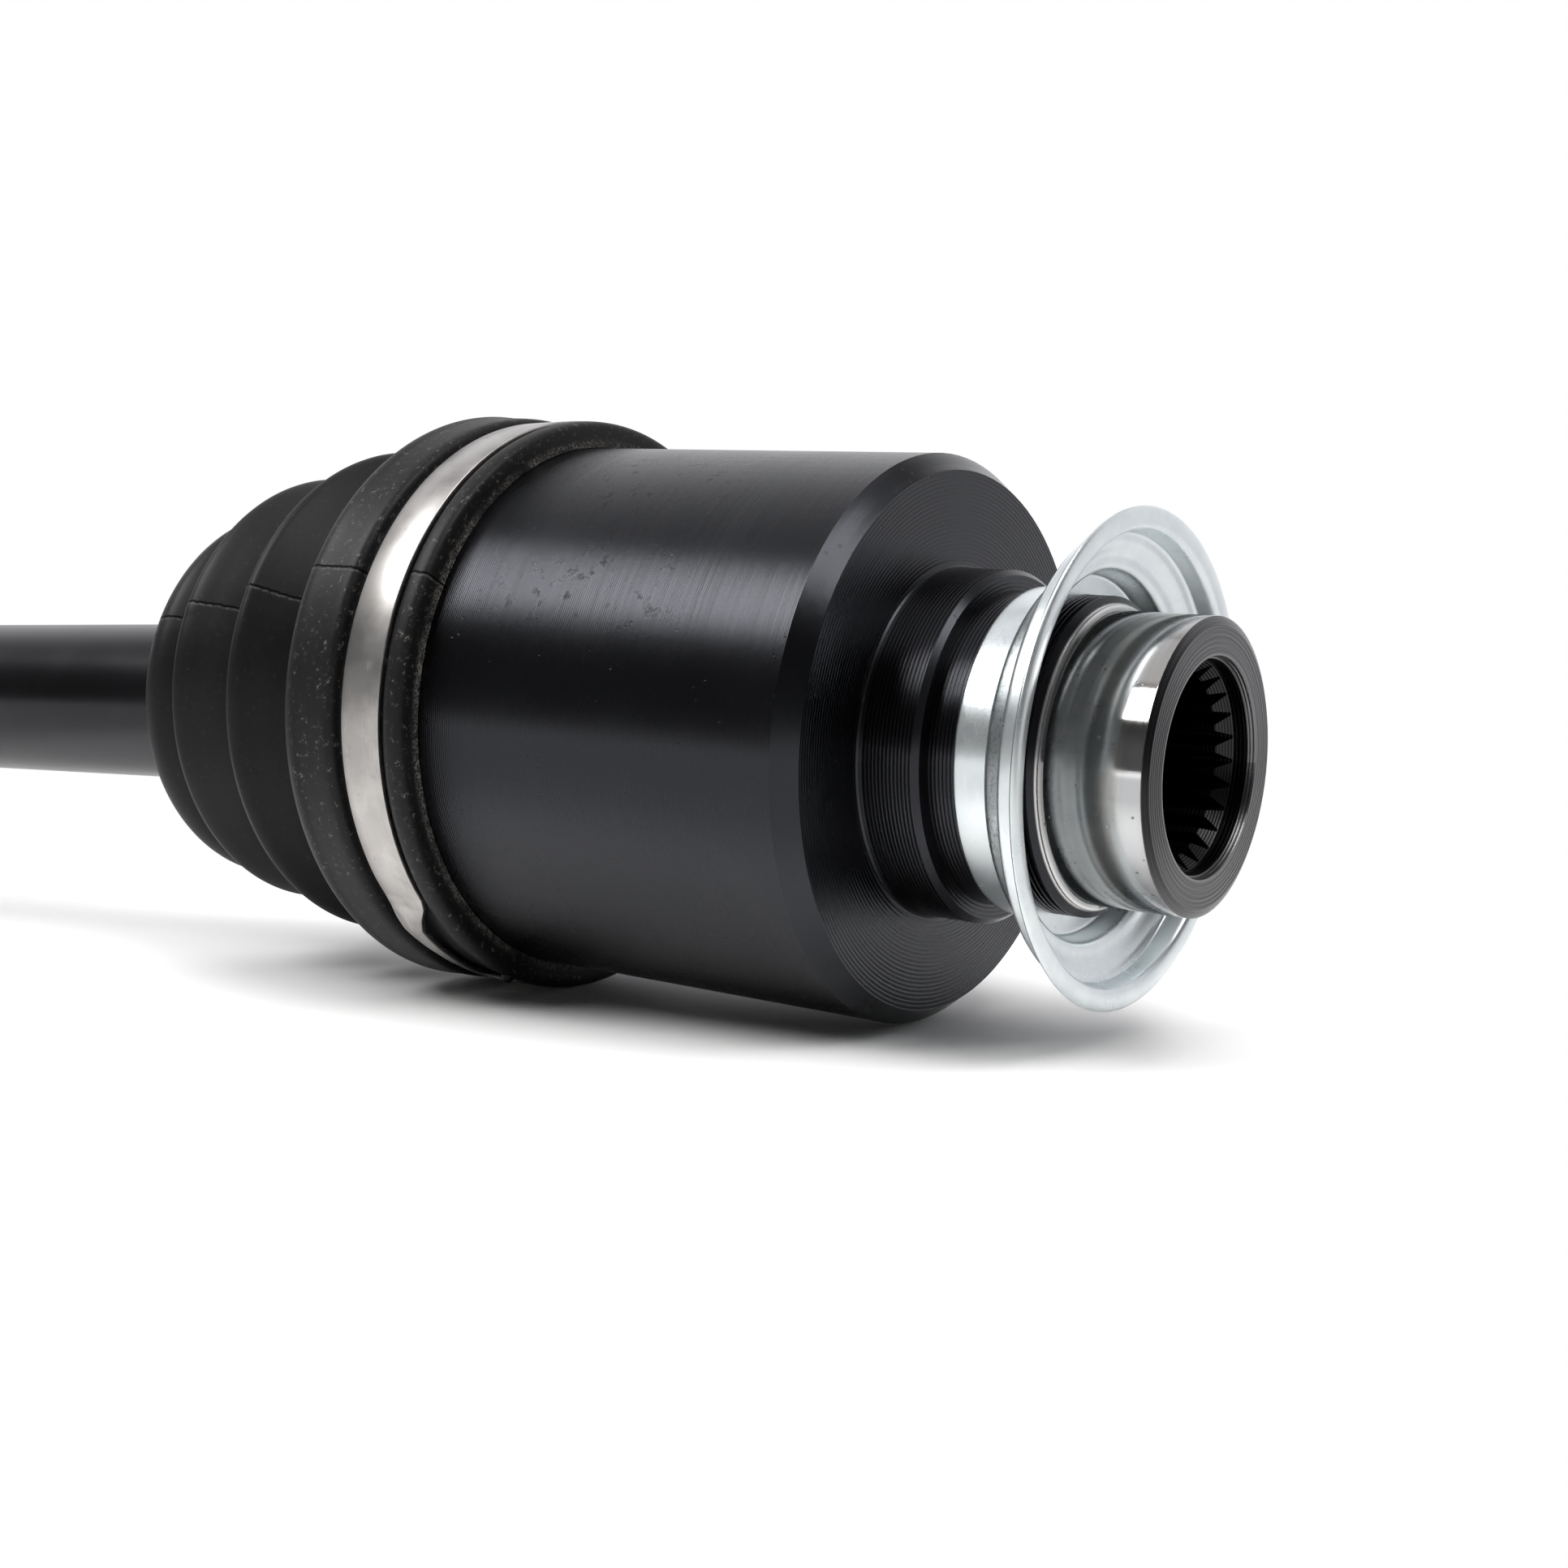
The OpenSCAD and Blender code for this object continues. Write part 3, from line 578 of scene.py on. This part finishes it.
OUTER_WALL_2 = [(78.4, 38.4), (80, 40.6), (81.4, 39.6), (83.4, 35.4), (85.4, 30), (87.9, 27.9), (90, 28.6),
                (92, 32.4), (93.8, 35.6), (95.4, 31.4), (97.4, 25.8), (100, 23.8), (102.4, 24.4),
                (104.4, 28), (106.2, 31), (107.4, 28), (109.4, 22.2), (112, 20.4), (114.4, 21.2),
                (116.4, 24.4), (117.8, 26.2), (118.8, 24.4), (120.4, 19.6), (122.4, 17.0), (124, 15.9),
                (132.7, 15.9)]
rubber_out = rubber_material("rubber_outboard", Vector((0, 0, 0)), 0.0, False)
mould_out = seam(math.radians(100), 0.22, 0.14)
boot_4 = skin("outer_boot_lip_and_ribs", smooth_path(OUTER_SKIN, OUTER_STEP),
              smooth_path(OUTER_WALL, WALL_STEP), outer_place, rubber_out, 192, mould_out)
boot_5 = skin("outer_boot_ribs_and_collar", smooth_path(OUTER_SKIN_2, OUTER_STEP),
              smooth_path(OUTER_WALL_2, WALL_STEP), outer_place, rubber_out, 192, mould_out)
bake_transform(boot_4)
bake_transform(boot_5)
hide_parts("outer_boot")

# Coil spring with closed end turns, squeezed between the housing's floor and the cup
WIRE, COIL, COILS = 0.9, 11.0, 6.5  # radius of the wire, radius of the coil, number of turns
SPRING_FROM, SPRING_LENGTH, END_RISE = 29.6, 26.3, 1.9


def coil_at(turn):
    """Height of the wire's centre: the first and last turns lie close."""
    length = SPRING_LENGTH - 2 * WIRE
    if turn < 1:
        return END_RISE * turn
    if turn > COILS - 1:
        return length - END_RISE * (COILS - turn)
    return END_RISE + (length - 2 * END_RISE) * (turn - 1) / (COILS - 2)


def spring_mesh(name, mat, steps=260, sides=14):
    verts = []
    for i in range(steps + 1):
        a = FULL * COILS * i / steps
        height = SPRING_FROM + WIRE + coil_at(COILS * i / steps)
        for j in range(sides):
            b = FULL * j / sides
            verts.append(inner_place(height + WIRE * math.sin(b), COIL + WIRE * math.cos(b), a))
    faces = quads(steps + 1, sides)
    faces += [tuple(range(sides)), tuple(range(steps * sides, (steps + 1) * sides))]
    return build(name, verts, faces, mat)


spring_steel = plain_metal("spring_steel", (0.4, 0.4, 0.41), (0.25, 0.25, 0.26), 0.3, 0.6)
coil = spring_mesh("spring_coil", spring_steel)
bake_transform(coil)
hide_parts("spring")

# Dust shield: pressed sheet, its steps as in the photo
SHIELD_BACK = [(82.7, 24.62), (82.7, 27.2), (82.95, 27.75), (83.6, 27.98), (85.4, 28.25), (86.3, 28.45),
               (86.85, 28.8), (87.12, 29.3), (87.25, 30.0), (87.35, 30.6), (87.65, 31.3), (88.1, 32.1),
               (88.45, 32.9), (88.6, 33.6), (88.7, 34.0), (88.95, 34.3), (89.6, 34.42), (91.2, 34.55),
               (91.9, 34.75), (92.35, 35.2), (92.55, 35.9), (92.62, 36.7), (92.52, 37.6), (92.35, 38.08),
               (92.15, 38.26)]
SHIELD_FRONT = [(75.6, 24.62), (75.6, 25.25), (75.85, 25.5), (81.2, 25.5), (81.7, 25.8), (81.9, 26.4),
                (82.0, 27.8), (82.5, 28.5), (83.2, 28.8), (85.4, 29.15), (86.0, 29.4), (86.3, 29.9),
                (86.4, 30.5), (86.65, 31.2), (87.1, 32.0), (87.5, 33.0), (87.65, 33.9), (87.9, 34.7),
                (88.5, 35.2), (89.5, 35.35), (91.0, 35.5), (91.45, 35.8), (91.62, 36.4), (91.65, 37.7),
                (91.8, 38.15), (92.0, 38.26)]
shield = skin("shield_sheet", smooth_path(SHIELD_FRONT, 0.25), smooth_path(SHIELD_BACK, 0.25), inner_place,
              zinc_material(), 256)
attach(shield, "inner_housing")
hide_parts("dust_shield")
# Materials of the CAD pieces
dress(housing_material(), "inner_housing")
dress(plain_metal("plug_zinc", (0.5, 0.53, 0.56), (0.36, 0.38, 0.4), 0.35, 0.3), "grease_plug")
dress(plain_metal("bar_black", (0.04, 0.04, 0.044), (0.032, 0.032, 0.035), 0.24, 0.04, 0.3, lines=0.4), "shaft")
dress(plain_metal("bell_black", (0.048, 0.048, 0.053), (0.036, 0.036, 0.04), 0.3, 0.05, 0.3, OUT, 0.5), "outer_bell")
dress(plain_metal("hardened_steel", (0.6, 0.59, 0.58), (0.46, 0.45, 0.44), 0.2, 0.4, 0.2, lines=0.3),
      "spider", "spider_circlip", "roller_clips", "race_circlip", "inner_race", "cage")
dress(plain_metal("polished_steel", (0.68, 0.68, 0.68), (0.6, 0.6, 0.6), 0.1, 0.3),
      "roller_1", "roller_2", "roller_3", "needles_1", "needles_2", "needles_3", "balls", "thrust_button")
dress(spring_steel, "spring_cup")
dress(band_material("band_small_inboard", J, 0.0), "inner_small_clamp")
dress(band_material("band_outboard", OUT, 0.0), "outer_big_clamp", "outer_small_clamp")

# Camera directions, and the point that the lamps face
AIM = Vector((0.47, 0.0, 0.0))
forward = Vector((-0.56773, 0.82044, -0.06749)).normalized()
right = Vector((0.82235, 0.56898, 0.0)).normalized()
up = right.cross(forward)

# Floor: it takes the contact shadow near the housing and is plain white, clear to the camera, further off
SHADOW_FROM, SHADOW_TO = 0.3, 0.47
low = min(before[0][2], before[1][2])
flat = Vector((forward.x, forward.y, 0)).normalized()
middle = Vector((AIM.x, 0.0, low))
corners = [middle + right * a + flat * b for a, b in ((-2.2, -1.3), (0.3, -1.3), (0.3, 1.6), (-2.2, 1.6))]
mesh = bpy.data.meshes.new("floor")
mesh.from_pydata([tuple(c) for c in corners], [], [(0, 1, 2, 3)])
floor = bpy.data.objects.new("floor", mesh)
bpy.context.scene.collection.objects.link(floor)
mat, g, bsdf = material("floor_white")
paper = g.mix(g.noise(g.add("TexCoord", out=3), 40.0, 4.0), (0.86, 0.855, 0.85), (0.89, 0.885, 0.88))
g.put(bsdf, "Base Color", paper)
g.put(bsdf, "Roughness", 0.6)
g.put(bsdf, "Specular IOR Level", 0.2)
glow = g.add("Emission", {"Color": (1.0, 1.0, 1.0, 1.0), "Strength": 1.0})
px, py, _ = g.split(g.add("TexCoord", out=3))
past_end = g.math("SUBTRACT", px, g.math("MINIMUM", g.math("MAXIMUM", px, SHADOW_FROM), SHADOW_TO))
far = g.length(past_end, py)
seen = g.tree.nodes.new("ShaderNodeLightPath")
near = g.times(seen.outputs["Is Glossy Ray"], g.ramp(py, -0.6, -0.28))
open_ray = g.math("MAXIMUM", seen.outputs["Is Camera Ray"], seen.outputs["Is Shadow Ray"])
eye = g.math("MAXIMUM", open_ray, near)
clear = g.add("MixShader", {0: open_ray, 1: glow, 2: g.add("BsdfTransparent")})
both = g.add("MixShader", {0: g.times(g.ramp(far, 0.05, 0.115), eye), 1: bsdf.outputs[0], 2: clear})
g.tree.links.new(both, next(n for n in g.tree.nodes if n.type == "OUTPUT_MATERIAL").inputs[0])
mesh.materials.append(mat)

# Camera
camera = bpy.data.objects.new("camera", bpy.data.cameras.new("camera"))
bpy.context.scene.collection.objects.link(camera)
facing = Matrix((right, up, -forward)).transposed().to_4x4()
camera.matrix_world = Matrix.Translation((0.67405, -0.30412, 0.01370)) @ facing
camera.data.sensor_width = 36.0
camera.data.lens = 50.73
camera.data.clip_start = 0.01
camera.data.clip_end = 50.0
bpy.context.scene.camera = camera


# Lamps
def lamp(name, away, distance, width, height, radiance, glossy=True):
    light = bpy.data.lights.new(name, "AREA")
    light.shape = "RECTANGLE"
    light.size, light.size_y = width, height
    light.energy = radiance * math.pi * width * height
    obj = bpy.data.objects.new(name, light)
    bpy.context.scene.collection.objects.link(obj)
    obj.location = AIM + away * distance
    obj.rotation_euler = (-away).to_track_quat("-Z", "Y").to_euler()
    obj.visible_camera = False
    obj.visible_glossy = glossy


def direction(side, rise):
    """side: degrees to the right of the line back to the camera; rise: degrees above the floor."""
    turn = math.atan2(-forward.y, -forward.x) + math.radians(side)
    tilt = math.radians(rise)
    away = Vector((math.cos(turn) * math.cos(tilt), math.sin(turn) * math.cos(tilt), math.sin(tilt)))
    return away.normalized()


lamp("key", direction(-76.5, 45.5), 1.3, 0.77, 0.48, 9.5)
lamp("side", direction(42, 55), 1.4, 1.0, 0.55, 5.0)
lamp("top", direction(0, 86), 1.6, 1.8, 1.4, 3.0, glossy=False)
lamp("back", direction(180, 40), 2.2, 2.4, 1.2, 1.0, glossy=False)

# World: white to the camera, and a soft grey studio to the part
world = bpy.data.worlds.new("studio")
bpy.context.scene.world = world
world.use_nodes = True
world.node_tree.nodes.clear()
g = Graph(world.node_tree)
way = g.add("TexCoord", out=0)
rise = g.split(way)[2]
ahead = g.vec("DOT_PRODUCT", way, tuple(forward), out=1)
above = g.ramp(rise, 0.82, 0.87, 0.0, 0.75)
behind = g.times(g.ramp(ahead, 0.15, 0.75), g.ramp(rise, -0.3, 0.0))
sideways = g.vec("DOT_PRODUCT", way, tuple(right), out=1)
aside = g.times(g.ramp(sideways, 0.3, 0.75), g.ramp(ahead, -0.1, 0.3))
low_side = g.ramp(rise, 0.55, 0.2, 0.05, 0.12)
level = g.math("MAXIMUM", g.math("MAXIMUM", g.sum(low_side, above), behind), g.times(aside, 0.85))
grey = g.add("CombineColor", {0: level, 1: level, 2: g.times(level, 1.03)})
path = g.tree.nodes.new("ShaderNodeLightPath")
colour = g.mix(path.outputs["Is Camera Ray"], grey, (1.0, 1.0, 1.0))
shade = g.add("Background", {0: colour, 1: 1.0})
final = g.tree.nodes.new("ShaderNodeOutputWorld")
g.tree.links.new(shade, final.inputs[0])

bpy.context.scene.view_settings.view_transform = "Standard"
bpy.context.scene.view_settings.look = "None"
